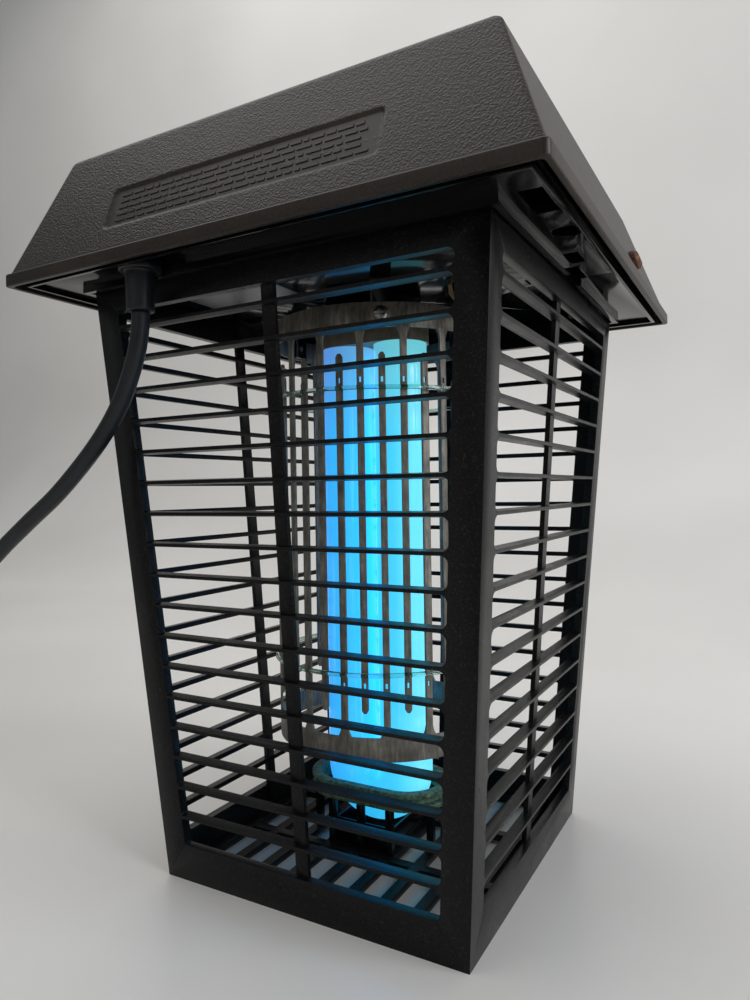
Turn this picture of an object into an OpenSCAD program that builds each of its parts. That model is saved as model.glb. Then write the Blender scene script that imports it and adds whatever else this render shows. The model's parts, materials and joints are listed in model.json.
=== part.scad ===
// Lantern-style electric insect killer: a flared slatted cage on a square
// base, a hipped roof that carries the works, a U-shaped ultraviolet lamp
// inside two interleaved high-voltage combs, and a short outdoor lead.
// Frame: origin at the centre of the base on the table, +Z up,
// -Y the face with the moulded panel, +X the face with the rusty screw.

/* [Guard] */
// Half-width of the cage at the table
guard_foot = 74.4; // [72:0.1:76]
// Outward flare of each cage wall, in degrees
guard_flare = 4.08; // [3.8:0.02:4.3]
// Height of the cage, which is where the ceiling pan rests
guard_h = 270; // [268:1:272]
// Thickness of the cage walls
guard_wall = 4; // [3.5:0.5:4.5]
// Width of one face of a corner post
post_w = 12.3; // [11:0.1:14]
// Number of slats on each face
slat_count = 17; // [17:1:17]
// Distance between neighbouring slats
slat_pitch = 13.8; // [13.7:0.05:13.85]
// Thickness of a slat at its front edge
slat_front = 1.4; // [1:0.1:1.6]
// Thickness of a slat at its back edge
slat_t = 2.4; // [1.8:0.1:2.6]
// Depth of one slat, from its front edge inwards
slat_depth = 4.6; // [4.2:0.2:6]
// Height of the centre of the lowest slat
slat_first = 29.7; // [29:0.1:30]

/* [Roof] */
// Width of the roof at the eaves
roof_w = 240; // [238:1:246]
// Width of the flat top of the roof
roof_top_w = 198.4; // [190:0.2:204]
// Height of the lower edge of the eaves
eaves_z = 267.6; // [267:0.1:268]
// Height of the upright lip at the eaves
lip_h = 5.6; // [5:0.1:6]
// Height of the flat top of the roof
roof_z = 325; // [322:0.5:328]
// Wall thickness of the roof moulding
roof_wall = 2.4; // [2:0.1:3]

/* [Killing grid] */
// Radius of the two combs
comb_r = 51; // [50:0.5:52]
// Thickness of the comb sheet
comb_t = 1.2; // [1:0.1:1.4]
// Fingers on each comb
finger_count = 17; // [14:1:18]
// Width of one finger
finger_w = 3; // [2.6:0.1:3.4]

/* [Lamp] */
// Diameter of the lamp tube
tube_d = 26; // [25.4:0.2:26.2]
// Distance from the lamp's middle to the middle of each leg
leg_x = 14.8; // [14.6:0.1:15]
// Sideways place of the lamp's middle
lamp_x = -3; // [-5:0.5:-2]
// Lowest point of the lamp's bend
lamp_low = 12; // [12:0.5:14]

/* [Lead] */
// Diameter of the lead
cord_d = 7.4; // [7:0.1:7.8]

/* [Hanger] */
// Diameter of the hanger wire
wire_d = 4; // [4:0.1:4.4]
// Distance between the hanger's two legs
bail_w = 70; // [60:1:80]
// Reach of the hanger from its pivot
bail_reach = 62; // [56:1:70]

/* [Hidden] */
$fn = 40;

// Cage values
flare_tan = tan(guard_flare);
sill_top = 16.8;             // top of the solid band at the table
rail_low = 257.6;            // underside of the band at the top
opening_r = 3;               // corner radius of the openings by two opposite posts
opening_r_small = 1;         // and by the other two posts
mullion_w = 6;               // upright bar behind the slats
mullion_set = 2.4;           // how far its face lies behind the slat fronts
mullion_back = 4.5;          // how far its back lies behind the slat fronts
mullion_foot = 6;            // its lower end, clear of the floor grille
reach = 160;                 // longer than any half-width of the object
function half_w(z) = guard_foot + z * flare_tan;
function inner_w(z) = half_w(z) - guard_wall / cos(guard_flare);

// Base values
floor_z = 2;                 // underside of the floor grille
floor_t = 3.2;
floor_bar = 5;
floor_rib_y = 24;
ring_z = 26;                 // underside of the lamp ring
ring_h = 8.6;
ring_len = 73.5;
ring_wid = 43;
post_pitch = 15.7;
cradle_x = 32;
cradle_y = 36.2;
cradle_top = 16;
cradle_wall = 1.2;

// Roof values
pan_z = guard_h;             // underside of the ceiling pan
pan_t = 2.4;
pan_half = 114;
pan_top = pan_z + pan_t;
ridge_half = 97.2;           // frame under the pan that the cage sits in
ridge_t = 2.6;
slope_start = eaves_z + lip_h;
slope_half = roof_w / 2 - 1.5;
screw_y = 32;                // roof screw, along the eaves
screw_z = 280;
slope_run = (slope_half - roof_top_w / 2) / (roof_z - slope_start);
slope_deg = atan(slope_run);
function slope_x(z) = slope_half - (z - slope_start) * slope_run;

// Grid values
comb_az = [-60, 60, 180];    // the brackets' directions
band_h = 10.4;
upper_band_z = 247;          // underside of the upper comb's band
lower_band_z = 59;
upper_finger_low = 80;
lower_finger_top = 236;
upper_hoop_z = 220;
lower_hoop_z = 96;
finger_step = 360 / finger_count;
finger_slots = [22.5, 155];  // small slots, measured from the finger's root

// Lamp values
cap_z = 248;                 // lower rim of the lamp's cap
cap_h = 12;
bend_z = lamp_low + tube_d / 2 + leg_x;

// Lead values: the gland's place and the route of the lead's middle line
gland_at = [-54.7, -103.5];
gland_low = 251.5;
gland_seat = 0.3;            // depth of the flange's seat in the pan
cord_route = [
  [-54.7, -103.5, 251.5], [-55.2, -103.5, 245], [-57, -103.5, 237],
  [-60.5, -103.5, 228], [-66, -103.5, 217.5], [-74, -103.5, 207],
  [-84, -103.5, 197], [-96, -103.5, 187], [-111, -103.5, 176],
  [-129, -103.5, 165], [-151, -103.5, 151], [-172, -104, 135],
  [-191, -105, 116], [-207, -107, 94], [-220, -110, 71],
  [-232, -114, 49], [-245, -119, 30], [-260, -125, 15],
  [-276, -133, 6.5], [-289, -145, 4], [-296, -160, 3.8],
  [-295, -176, 3.8], [-287, -189, 3.8], [-274, -197, 3.8],
  [-259, -200, 4.4], [-245, -200, 5.8], [-231, -200, 7.4],
  [-218, -200, 8]
];
plug_at = cord_route[len(cord_route) - 1];

// Hanger values
pivot_h = 3.8;               // height of the hanger's pivot over the roof
pivot_z = roof_z + pivot_h;
pin_clear = 0.05;            // radial running clearance of the hanger's ends
rivet_x = [for (s = [-1, 1], t = [-1, 1]) s * bail_w / 2 + t * 11];

// Parts on top of the pan: place, then width, depth, height and outer leg
transformer_at = [-48, 33];
transformer_size = [54, 40, 38, 16];
ballast_at = [40, 45];
ballast_size = [42, 26, 32, 12];
core_tab = 8;                // depth of a core's mounting tab
starter_at = [-40, -45, 289];
corner_post = 78;            // the roof's inner screw posts
function tab_holes(p, size) = [for (s = [-1, 1]) [p[0], p[1] + s * (size[1] / 2 + core_tab / 2)]];

// ---- shared shapes ----

// Square frustum between two heights, w0 wide below and w1 wide above
module frustum(w0, z0, w1, z1) {
  a = w0 / 2;
  b = w1 / 2;
  polyhedron(
    points = [[-a, -a, z0], [a, -a, z0], [a, a, z0], [-a, a, z0],
              [-b, -b, z1], [b, -b, z1], [b, b, z1], [-b, b, z1]],
    faces = [[0, 1, 2, 3], [7, 6, 5, 4], [0, 4, 5, 1],
             [1, 5, 6, 2], [2, 6, 7, 3], [3, 7, 4, 0]]);
}

// Flat outline with straight sides and half-round ends along X
module stadium(len, wid) {
  square([len - wid, wid], center = true);
  for (s = [-1, 1]) translate([s * (len - wid) / 2, 0]) circle(d = wid);
}

// Rectangle from two corners
module rect(x0, y0, x1, y1) {
  translate([x0, y0]) square([x1 - x0, y1 - y0]);
}

// Pan-head screw along +Z, with its head above z = 0
module pan_screw(head_d, head_h, shank_d, length, slot_w) {
  difference() {
    union() {
      cylinder(d = head_d, h = head_h * 0.55);
      translate([0, 0, head_h * 0.55]) cylinder(d1 = head_d, d2 = head_d * 0.66, h = head_h * 0.45);
      translate([0, 0, -length]) cylinder(d = shank_d, h = length);
    }
    translate([-head_d, -slot_w / 2, head_h * 0.5]) cube([2 * head_d, slot_w, head_h]);
  }
}

// Ring of points round route point i, square to the route there
function ring_at(i, pts, d, sides, first, final) =
  let (
    last = len(pts) - 1,
    t = pts[min(i + 1, last)] - pts[max(i - 1, 0)],
    dir = i == 0 ? first : i == last ? final : t / norm(t),
    side = cross(dir, [0.05, 1, 0.02]),
    u = side / norm(side),
    v = cross(dir, u)
  ) [for (k = [0:sides - 1]) pts[i] + d / 2 * (cos(360 * k / sides) * u + sin(360 * k / sides) * v)];

// Round tube whose middle line follows a list of points, with the given
// directions at its two ends
module swept_tube(pts, d, m, first, final) {
  n = len(pts);
  skin = [for (i = [0:n - 2], k = [0:m - 1])
    [i * m + k, i * m + (k + 1) % m, (i + 1) * m + (k + 1) % m, (i + 1) * m + k]];
  polyhedron(
    points = [for (i = [0:n - 1]) each ring_at(i, pts, d, m, first, final)],
    faces = concat([[for (k = [0:m - 1]) m - 1 - k]], skin, [[for (k = [0:m - 1]) (n - 1) * m + k]]));
}

// ---- cage ----

// One opening between two slats, its sides following the flare of the post,
// with its own corner radius at the left and at the right end
module slat_opening(z0, z1, r_left, r_right) {
  a = half_w(z0) - post_w;
  b = half_w(z1) - post_w;
  for (end = [[-1, r_left], [1, r_right]]) {
    s = end[0];
    r = min(end[1], (z1 - z0) / 2 - 0.1);
    am = a + r * flare_tan;
    bm = b - r * flare_tan;
    polygon([[-s, z0 + r], [s * am, z0 + r], [s * bm, z1 - r], [-s, z1 - r]]);
    polygon([[-s, z0], [s * (a - r), z0], [s * (b - r), z1], [-s, z1]]);
    translate([s * (am - r), z0 + r]) circle(r = r, $fn = 24);
    translate([s * (bm - r), z1 - r]) circle(r = r, $fn = 24);
  }
}

// Upright slab that leans out with the cage wall, from depth d0 to d1
module leaning_slab(x0, x1, d0, d1) {
  translate([0, -guard_foot, 0])
    rotate([guard_flare, 0, 0])
      translate([x0, d0, -20]) cube([x1 - x0, d1 - d0, guard_h + 60]);
}

// Slat of the given half-length, drafted from its front edge to its back
module slat(half_l) {
  f = slat_front / 2;
  b = slat_t / 2;
  translate([-half_l, 0, 0]) rotate([90, 0, 90]) linear_extrude(2 * half_l)
    polygon([[0.3, -f - 0.02], [slat_depth, -b], [slat_depth, b], [0.3, f + 0.02]]);
}

// One wall of the cage on the -Y side, mitred to its neighbours at 45 degrees
module guard_panel(r_left, r_right) {
  slat_z = [for (i = [0:slat_count - 1]) slat_first + i * slat_pitch];
  lows = concat([sill_top], [for (z = slat_z) z + slat_front / 2]);
  tops = concat([for (z = slat_z) z - slat_front / 2], [rail_low]);
  intersection() {
    linear_extrude(guard_h) polygon([[0, 0], [-reach, -reach], [reach, -reach]]);
    union() {
      difference() {
        leaning_slab(-reach, reach, 0, guard_wall);
        rotate([90, 0, 0]) linear_extrude(reach)
          for (i = [0:slat_count]) slat_opening(lows[i], tops[i], r_left, r_right);
      }
      intersection() {
        leaning_slab(-mullion_w / 2, mullion_w / 2, mullion_set, mullion_back);
        translate([-reach, -reach, mullion_foot]) cube([2 * reach, reach, guard_h]);
      }
      for (z = slat_z) translate([0, -half_w(z), z]) slat(half_w(z) - post_w + 1);
    }
  }
}

module panel_small_left() { guard_panel(opening_r_small, opening_r); }
module panel_small_right() { guard_panel(opening_r, opening_r_small); }
module front_guard() { color("#1b1a1a") panel_small_left(); }
module right_guard() { color("#1b1a1a") rotate([0, 0, 90]) panel_small_right(); }
module rear_guard() { color("#1b1a1a") rotate([0, 0, 180]) panel_small_left(); }
module left_guard() { color("#1b1a1a") rotate([0, 0, 270]) panel_small_right(); }

// ---- base ----

// Floor of the cage: a frame, bars from front to back under the lamp's
// posts, and two cross ribs
module base_grille() {
  frame_w = 3.5;
  edge = inner_w(floor_z) - 0.1;
  color("#201f1e") translate([0, 0, floor_z]) linear_extrude(floor_t) {
    difference() {
      square(2 * edge, center = true);
      square(2 * (edge - frame_w), center = true);
    }
    for (i = [-4:4]) translate([lamp_x + i * post_pitch, 0])
      square([floor_bar, 2 * edge - 1], center = true);
    for (y = [-floor_rib_y, floor_rib_y]) translate([0, y])
      square([2 * edge - 1, floor_bar], center = true);
    translate([lamp_x, 0]) square([cradle_x + 6, cradle_y + 6], center = true);
  }
}

// Open box on the floor that holds the bend of the lamp
module lamp_cradle() {
  base = floor_z + floor_t;
  color("#16171a") translate([lamp_x, 0, base]) difference() {
    translate([-cradle_x / 2, -cradle_y / 2, 0]) cube([cradle_x, cradle_y, cradle_top - base]);
    translate([cradle_wall - cradle_x / 2, cradle_wall - cradle_y / 2, 0.8])
      cube([cradle_x - 2 * cradle_wall, cradle_y - 2 * cradle_wall, cradle_top]);
  }
}

// Five pairs of upright posts that carry the lamp ring
module ring_posts() {
  base = floor_z + floor_t;
  color("#161616") for (side = [-1, 1], i = [-2:2]) {
    inset = abs(i) == 2 ? 12 : 0;    // the end pairs follow the ring's round ends
    translate([lamp_x + i * post_pitch, side * (ring_wid / 2 - 1.6 - inset), base])
      translate([-1.8, -1.6, 0]) cube([3.6, 3.2, ring_z - base]);
  }
}

// Stadium hoop round the lamp, with turned edges above and below and a
// long slot in each straight side
module lamp_ring() {
  edge_h = 2.6;
  edge_w = 4.6;
  web_w = 1.4;
  slot_half = 21;
  bore_l = ring_len - 2 * edge_w;
  bore_w = ring_wid - 2 * edge_w;
  color("#4d6356") translate([lamp_x, 0, ring_z]) difference() {
    union() {
      for (z = [0, ring_h - edge_h]) translate([0, 0, z]) linear_extrude(edge_h) difference() {
        stadium(ring_len, ring_wid);
        stadium(bore_l, bore_w);
      }
      linear_extrude(ring_h) difference() {
        stadium(bore_l + 2 * web_w, bore_w + 2 * web_w);
        stadium(bore_l, bore_w);
      }
    }
    for (s = [-1, 1]) translate([-slot_half, s * ring_wid / 2 - 10, edge_h])
      cube([2 * slot_half, 20, ring_h - 2 * edge_h]);
  }
}

// Two tabs on top of the cage that stand in the pan's side slots
module locating_tabs() {
  tab_x = half_w(guard_h) - guard_wall + 0.4;
  color("#1b1a1a") for (s = [0, 180]) rotate([0, 0, s])
    translate([tab_x, -6, guard_h]) cube([3.2, 16, 7]);
}

// ---- roof ----

// Roof moulding: hipped shell with an upright lip and a sunk panel in front
module hood() {
  cut = 1;
  panel_d = 0.8;
  w_in = roof_w - 2 * roof_wall;
  color("#2b2724") difference() {
    union() {
      frustum(2 * slope_half, slope_start, roof_top_w, roof_z);
      translate([-roof_w / 2, -roof_w / 2, eaves_z]) cube([roof_w, roof_w, lip_h]);
    }
    translate([-w_in / 2, -w_in / 2, eaves_z - cut]) cube([w_in, w_in, lip_h + cut]);
    frustum(2 * (slope_half - roof_wall) + 0.2, slope_start - 0.2,
            roof_top_w - 2 * roof_wall, roof_z - roof_wall);
    translate([0, -slope_x(292.5), 292.5]) rotate([-slope_deg, 0, 0])
      translate([-63, panel_d - 8, -9.4]) cube([126, 8, 18.8]);
    for (s = [0, 180]) rotate([0, 0, s]) screw_place() cylinder(d = 4.4, h = 30, center = true);
    for (x = rivet_x) translate([x, 0, roof_z - 6]) cylinder(d = 3.2, h = 12);
  }
  color("#2b2724") for (x = [-1, 1], y = [-1, 1]) translate([x * corner_post, y * corner_post, pan_top])
    difference() {
      cylinder(d = 8, h = roof_z - roof_wall - pan_top + 0.2);
      translate([0, 0, -1]) cylinder(d = 2.6, h = 16);
    }
}

// Puts a child on the roof's +X slope, with +Z square to the slope
module screw_place() {
  translate([slope_x(screw_z), screw_y, screw_z]) rotate([0, 90 - slope_deg, 0]) children();
}

// Ceiling pan: plate under the roof with a rim, the frame round the cage,
// side lugs for the roof screws and its openings
module ceiling_pan() {
  rim_t = 1.8;
  rim_low = eaves_z + 0.6;
  lug_in = 102;
  lug_top = 288;
  lug_out = slope_x(lug_top) - roof_wall / cos(slope_deg) - 0.3;
  color("#17181a") difference() {
    union() {
      translate([-pan_half, -pan_half, pan_z]) cube([2 * pan_half, 2 * pan_half, pan_t]);
      translate([0, 0, rim_low]) linear_extrude(pan_z - rim_low + 0.5) difference() {
        square(2 * pan_half, center = true);
        square(2 * (pan_half - rim_t), center = true);
      }
      translate([0, 0, pan_z - 3.2]) linear_extrude(3.4) difference() {
        square(2 * ridge_half, center = true);
        square(2 * (ridge_half - ridge_t), center = true);
      }
      for (s = [0, 180]) rotate([0, 0, s]) translate([0, screw_y + 7, 0]) rotate([90, 0, 0])
        linear_extrude(14) polygon([[lug_in, pan_top - 0.5], [pan_half, pan_top - 0.5],
                                    [pan_half, slope_start + 2.8], [lug_out, lug_top],
                                    [lug_in, lug_top]]);
    }
    for (s = [0, 180]) rotate([0, 0, s]) {
      screw_place() cylinder(d = 3, h = 34, center = true);
      translate([0, 0, pan_z - 8]) linear_extrude(16) {
        rect(102, -94, 110.4, -72.5);
        translate([107, -50.4]) circle(d = 11.4);
        rect(98.6, -26, 104.8, -12);
        rect(half_w(guard_h) - guard_wall - 0.4, -7, 100, 12);
        rect(74.5, 1, 80.5, 9);
        translate([86, -48]) circle(d = 9);
      }
      translate([101, 10, pan_z - 0.4]) cube([pan_half - rim_t - 101, 0.6, 1]);
    }
    translate([gland_at[0], gland_at[1], pan_z - 10]) cylinder(d = 17.8, h = 10 + gland_seat);
    translate([gland_at[0], gland_at[1], pan_z - 10]) cylinder(d = 9.4, h = 20);
    translate([lamp_x, 0, pan_z - 10]) linear_extrude(20) stadium(20, 12);
    for (x = [-1, 1], y = [-1, 1]) translate([x * corner_post, y * corner_post, pan_z - 1])
      cylinder(d = 3.4, h = 6);
    for (p = concat(tab_holes(transformer_at, transformer_size), tab_holes(ballast_at, ballast_size)))
      translate([p[0], p[1], pan_z - 1]) cylinder(d = 3, h = 6);
  }
}

module hood_screws() {
  color("#6d4a35") {
    for (s = [0, 180]) rotate([0, 0, s]) screw_place()
      translate([0, 0, 0.02]) pan_screw(9, 3.4, 2.96, 12, 1.2);
    for (x = [-1, 1], y = [-1, 1]) translate([x * corner_post, y * corner_post, pan_z]) rotate([180, 0, 0])
      pan_screw(6.4, 1.9, 2.56, 12, 1);
  }
}

// Blank foil plate on the underside of the pan
module rating_plate() {
  color("#8e9092") translate([-74, -60, pan_z - 0.4]) cube([52, 34, 0.4]);
}

// ---- lamp ----

module lamp_socket() {
  color("#191a1c") translate([lamp_x, 0, cap_z + cap_h]) difference() {
    linear_extrude(pan_z - cap_z - cap_h) stadium(50, 26);
    for (s = [-1, 1], t = [-1, 1]) translate([s * leg_x / 2, t * 4, -1]) cylinder(d = 2.5, h = 9);
  }
}

module lamp_cap() {
  wall = 1.2;
  color("#b5a893") translate([lamp_x, 0, cap_z]) difference() {
    linear_extrude(cap_h) stadium(2 * leg_x + tube_d + 2 * wall, tube_d + 2 * wall);
    for (s = [-1, 1]) translate([s * leg_x, 0, -1]) cylinder(d = tube_d, h = 7);
    for (s = [-1, 1], t = [-1, 1]) translate([s * leg_x / 2, t * 4, cap_h - 4]) cylinder(d = 2.36, h = 9);
  }
}

// U-shaped glass tube: two straight legs and a half-round bend
module lamp_tubes() {
  top = cap_z + 6;
  color("#58c8f4") translate([lamp_x, 0, 0]) {
    for (s = [-1, 1]) translate([s * leg_x, 0, bend_z]) cylinder(d = tube_d, h = top - bend_z);
    translate([0, 0, bend_z]) rotate([90, 0, 0]) rotate([0, 0, 180])
      rotate_extrude(angle = 180, $fn = 72) translate([leg_x, 0]) circle(d = tube_d);
  }
}

module lamp_pins() {
  color("#b7904a") for (s = [-1, 1], t = [-1, 1])
    translate([lamp_x + s * leg_x / 2, t * 4, cap_z + cap_h - 4]) cylinder(d = 2.36, h = 11);
}

// ---- killing grid ----

// One finger hanging below z = 0, with a flared root, a chamfered tip and
// two small slots
module finger(length) {
  root_w = finger_w + 3.4;
  half = finger_w / 2;
  rotate([90, 0, 0]) linear_extrude(comb_t, center = true) difference() {
    polygon([[-root_w / 2, 0.4], [root_w / 2, 0.4], [half + 0.5, -2.2], [half, -4.5],
             [half, 1.4 - length], [half - 0.9, -length], [0.9 - half, -length],
             [-half, 1.4 - length], [-half, -4.5], [-half - 0.5, -2.2]]);
    for (d = finger_slots) translate([-0.5, -d - 1.2]) square([1, 2.4]);
  }
}

module comb_band() {
  linear_extrude(band_h) difference() {
    circle(r = comb_r + comb_t / 2, $fn = 96);
    circle(r = comb_r - comb_t / 2, $fn = 96);
  }
}

module upper_comb() {
  color("#7c766b") difference() {
    union() {
      translate([0, 0, upper_band_z]) comb_band();
      for (i = [0:finger_count - 1]) rotate([0, 0, comb_az[0] + (i + 0.5) * finger_step])
        translate([comb_r, 0, upper_band_z]) rotate([0, 0, 90]) finger(upper_band_z - upper_finger_low);
    }
    for (a = comb_az) rotate([0, 0, a]) translate([comb_r - 4, 0, upper_band_z + 5.4])
      rotate([0, 90, 0]) cylinder(d = 3, h = 8);
  }
}

module lower_comb() {
  color("#7c766b") {
    translate([0, 0, lower_band_z]) comb_band();
    for (i = [0:finger_count - 1]) rotate([0, 0, comb_az[0] + i * finger_step])
      translate([comb_r, 0, lower_band_z + band_h]) rotate([0, 0, 90]) mirror([0, 0, 1])
        finger(lower_finger_top - lower_band_z - band_h);
  }
}

// Clear insulating hoop that ties the fingers of both combs together
module comb_hoop(z) {
  inner = comb_r + comb_t / 2 + 0.05;
  translate([0, 0, z]) rotate_extrude($fn = 96) rect(inner, 0, inner + 2, 1.8);
}

module upper_hoop() { color("#cfd3c8") comb_hoop(upper_hoop_z); }
module lower_hoop() { color("#cfd3c8") comb_hoop(lower_hoop_z); }

// Three arms from the pan down to the upper band, inside it
module comb_brackets() {
  arm_w = 9;
  back = comb_r - comb_t / 2;
  color("#141414") for (a = comb_az) rotate([0, 0, a]) difference() {
    union() {
      translate([back - 3.4, -arm_w / 2, upper_band_z + 0.5])
        cube([3.2, arm_w, pan_z - upper_band_z - 0.5]);
      translate([back - 12, -arm_w / 2, pan_z - 2.6]) cube([14, arm_w, 2.6]);
    }
    translate([back - 6, 0, upper_band_z + 5.4]) rotate([0, 90, 0]) cylinder(d = 2.56, h = 8);
  }
}

module comb_screws() {
  color("#a7a59c") for (a = comb_az) rotate([0, 0, a])
    translate([comb_r + comb_t / 2, 0, upper_band_z + 5.4]) rotate([0, 90, 0]) rotate([0, 0, 90])
      pan_screw(6, 2, 2.56, 4.8, 0.9);
}

module red_lead() {
  color("#a3262b") swept_tube([[46, 5, pan_z], [46.4, 4.8, 266.5], [49, 4, 262],
                               [51.6, 2.8, 259.5], [53.6, 1.8, 257.6], [53.8, 1.5, 253]],
                              2, 8, [0, 0, -1], [0, 0, -1]);
}

module beige_lead() {
  color("#c8b48a") swept_tube([[43, -10, pan_z], [43.6, -10.2, 266.5], [46.5, -11, 262.5],
                               [49.5, -12, 260.4], [52.2, -13, 258.6], [52.6, -13.2, 253]],
                              2, 8, [0, 0, -1], [0, 0, -1]);
}

// ---- electrical parts on top of the pan ----

// Laminated shell core with two windows and a mounting tab on each side
module shell_core(p, size) {
  w = size[0];
  h = size[2];
  leg = size[3];
  win_w = (w - 2 * leg) / 2;
  translate([p[0] - w / 2, p[1] - size[1] / 2, pan_top]) difference() {
    cube([w, size[1], h]);
    for (x = [leg / 2, w / 2 + leg / 2]) translate([x, -1, leg / 2]) cube([win_w, size[1] + 2, h - leg]);
  }
  for (q = tab_holes(p, size)) translate([q[0], q[1], pan_top]) difference() {
    translate([-w / 2, -core_tab / 2, 0]) cube([w, core_tab, 1.6]);
    translate([0, 0, -1]) cylinder(d = 3, h = 4);
  }
}

// Wound coil on the core's middle leg, through both windows
module coil_block(p, size) {
  leg = size[3];
  gap = 0.15;
  coil_w = size[0] - leg - 2 * gap;
  coil_d = size[1] + 14;
  coil_h = size[2] - leg - 2 * gap;
  translate([p[0], p[1], pan_top + leg / 2 + gap]) difference() {
    translate([-coil_w / 2, -coil_d / 2, 0]) cube([coil_w, coil_d, coil_h]);
    translate([-leg / 2 - gap, -size[1] / 2 - gap, -1])
      cube([leg + 2 * gap, size[1] + 2 * gap, coil_h + 2]);
  }
}

module core_screws(p, size) {
  color("#9a9a98") for (q = tab_holes(p, size)) translate([q[0], q[1], pan_top + 1.6])
    pan_screw(6, 2, 2.96, 5.6, 1);
}

module transformer_core() { color("#5d5a55") shell_core(transformer_at, transformer_size); }
module transformer_coil() { color("#8c5a2b") coil_block(transformer_at, transformer_size); }
module transformer_screws() { core_screws(transformer_at, transformer_size); }
module ballast_core() { color("#5d5a55") shell_core(ballast_at, ballast_size); }
module ballast_coil() { color("#3b3f45") coil_block(ballast_at, ballast_size); }
module ballast_screws() { core_screws(ballast_at, ballast_size); }

module starter_socket() {
  color("#d9d6cc") translate(starter_at) difference() {
    translate([-12, -4, pan_top - starter_at[2]]) cube([8, 24, 30]);
    translate([-13, 8, 0]) rotate([0, 90, 0]) cylinder(d = 5, h = 12);
  }
}
module starter_can() {
  color("#b9bcbe") translate([starter_at[0] - 4, starter_at[1] + 8, starter_at[2]])
    rotate([0, 90, 0]) cylinder(d = 21, h = 36);
}
module wire_nuts() {
  color("#c9832d") for (i = [0:2]) translate([30 + i * 16, -40 + i * 6, pan_top])
    cylinder(d1 = 11, d2 = 7, h = 20);
}

// ---- hanger ----

// Two steel saddles on the roof with a bored ear for the hanger's ends
module hanger_saddles() {
  bore_d = wire_d + 2 * pin_clear;
  color("#8b8d8e") for (s = [-1, 1]) translate([s * bail_w / 2, 0, roof_z]) difference() {
    union() {
      translate([-16, -6, 0]) cube([32, 12, 1.2]);
      translate([-3, 0, pivot_h]) rotate([0, 90, 0]) cylinder(d = wire_d + 3.2, h = 6);
      translate([-3, -wire_d / 2 - 1.6, 0.6]) cube([6, wire_d + 3.2, pivot_h - 0.6]);
    }
    translate([-20, 0, pivot_h]) rotate([0, 90, 0]) cylinder(d = bore_d, h = 40);
    translate([3, -8, 1.2]) cube([20, 16, 12]);
    translate([-23, -8, 1.2]) cube([20, 16, 12]);
    for (t = [-1, 1]) translate([t * 11, 0, -1]) cylinder(d = 3.2, h = 4);
  }
}

module saddle_rivets() {
  color("#a8aaab") for (x = rivet_x) translate([x, 0, 0]) {
    translate([0, 0, roof_z - roof_wall]) cylinder(d = 3.16, h = roof_wall + 1.2);
    translate([0, 0, roof_z + 1.2]) cylinder(d1 = 6, d2 = 4, h = 1);
    translate([0, 0, roof_z - roof_wall - 1]) cylinder(d = 5.4, h = 1);
  }
}

// Wire bail folded flat towards -Y: ends in the saddles, legs and a crown
module hanger_bail() {
  leg = bail_w / 2 - 10;
  hook_r = 6;
  crown_r = 14;
  color("#9b9d9e") translate([0, 0, pivot_z]) {
    for (m = [0, 1]) mirror([m, 0, 0]) {
      translate([leg + hook_r, 0, 0]) rotate([0, 90, 0]) cylinder(d = wire_d, h = 8);
      translate([leg + hook_r, -hook_r, 0]) rotate([0, 0, 90])
        rotate_extrude(angle = 90, $fn = 48) translate([hook_r, 0]) circle(d = wire_d, $fn = 24);
      translate([leg, -hook_r, 0]) rotate([90, 0, 0])
        cylinder(d = wire_d, h = bail_reach - crown_r - hook_r);
      translate([leg - crown_r, crown_r - bail_reach, 0]) rotate([0, 0, 270])
        rotate_extrude(angle = 90, $fn = 48) translate([crown_r, 0]) circle(d = wire_d, $fn = 24);
    }
    translate([crown_r - leg, -bail_reach, 0]) rotate([0, 90, 0])
      cylinder(d = wire_d, h = 2 * (leg - crown_r));
  }
}

// ---- lead ----

// Moulded gland: flange against the pan and a barrel round the lead
module cord_gland() {
  color("#222427") translate([gland_at[0], gland_at[1], 0]) {
    translate([0, 0, pan_z - 2.2]) cylinder(d = 17, h = 2.2 + gland_seat);
    translate([0, 0, gland_low]) cylinder(d1 = 11.3, d2 = 12, h = pan_z - 2.2 - gland_low);
    translate([0, 0, pan_z - 0.1]) cylinder(d = 9.36, h = 8);
  }
}

module power_cord() {
  color("#1c1e21") swept_tube(cord_route, cord_d, 10, [0, 0, -1], [1, 0, 0]);
}

// Moulded three-pin plug lying on the table, its lead entering along +X
module plug_body() {
  color("#1c1e21") translate(plug_at) {
    rotate([0, 90, 0]) cylinder(d1 = 9.4, d2 = 12, h = 13);
    hull() {
      translate([12.9, 0, 0]) rotate([0, 90, 0]) cylinder(d = 13, h = 1, $fn = 32);
      translate([24, -11.5, -8]) cube([14, 23, 16]);
    }
  }
}

module plug_blades() {
  color("#b59a5a") translate([plug_at[0] + 38, plug_at[1], plug_at[2]]) {
    for (s = [-1, 1]) translate([0, s * 6.35 - 0.75, -3.2 + 2]) cube([16, 1.5, 6.4]);
    translate([0, 0, -4.4]) rotate([0, 90, 0]) cylinder(d = 4.8, h = 18);
  }
}

front_guard();
right_guard();
rear_guard();
left_guard();
base_grille();
lamp_cradle();
ring_posts();
lamp_ring();
locating_tabs();
hood();
ceiling_pan();
hood_screws();
rating_plate();
lamp_socket();
lamp_cap();
lamp_tubes();
lamp_pins();
upper_comb();
lower_comb();
upper_hoop();
lower_hoop();
comb_brackets();
comb_screws();
red_lead();
beige_lead();
transformer_core();
transformer_coil();
transformer_screws();
ballast_core();
ballast_coil();
ballast_screws();
starter_socket();
starter_can();
wire_nuts();
hanger_saddles();
saddle_rivets();
hanger_bail();
cord_gland();
power_cord();
plug_body();
plug_blades();
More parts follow.
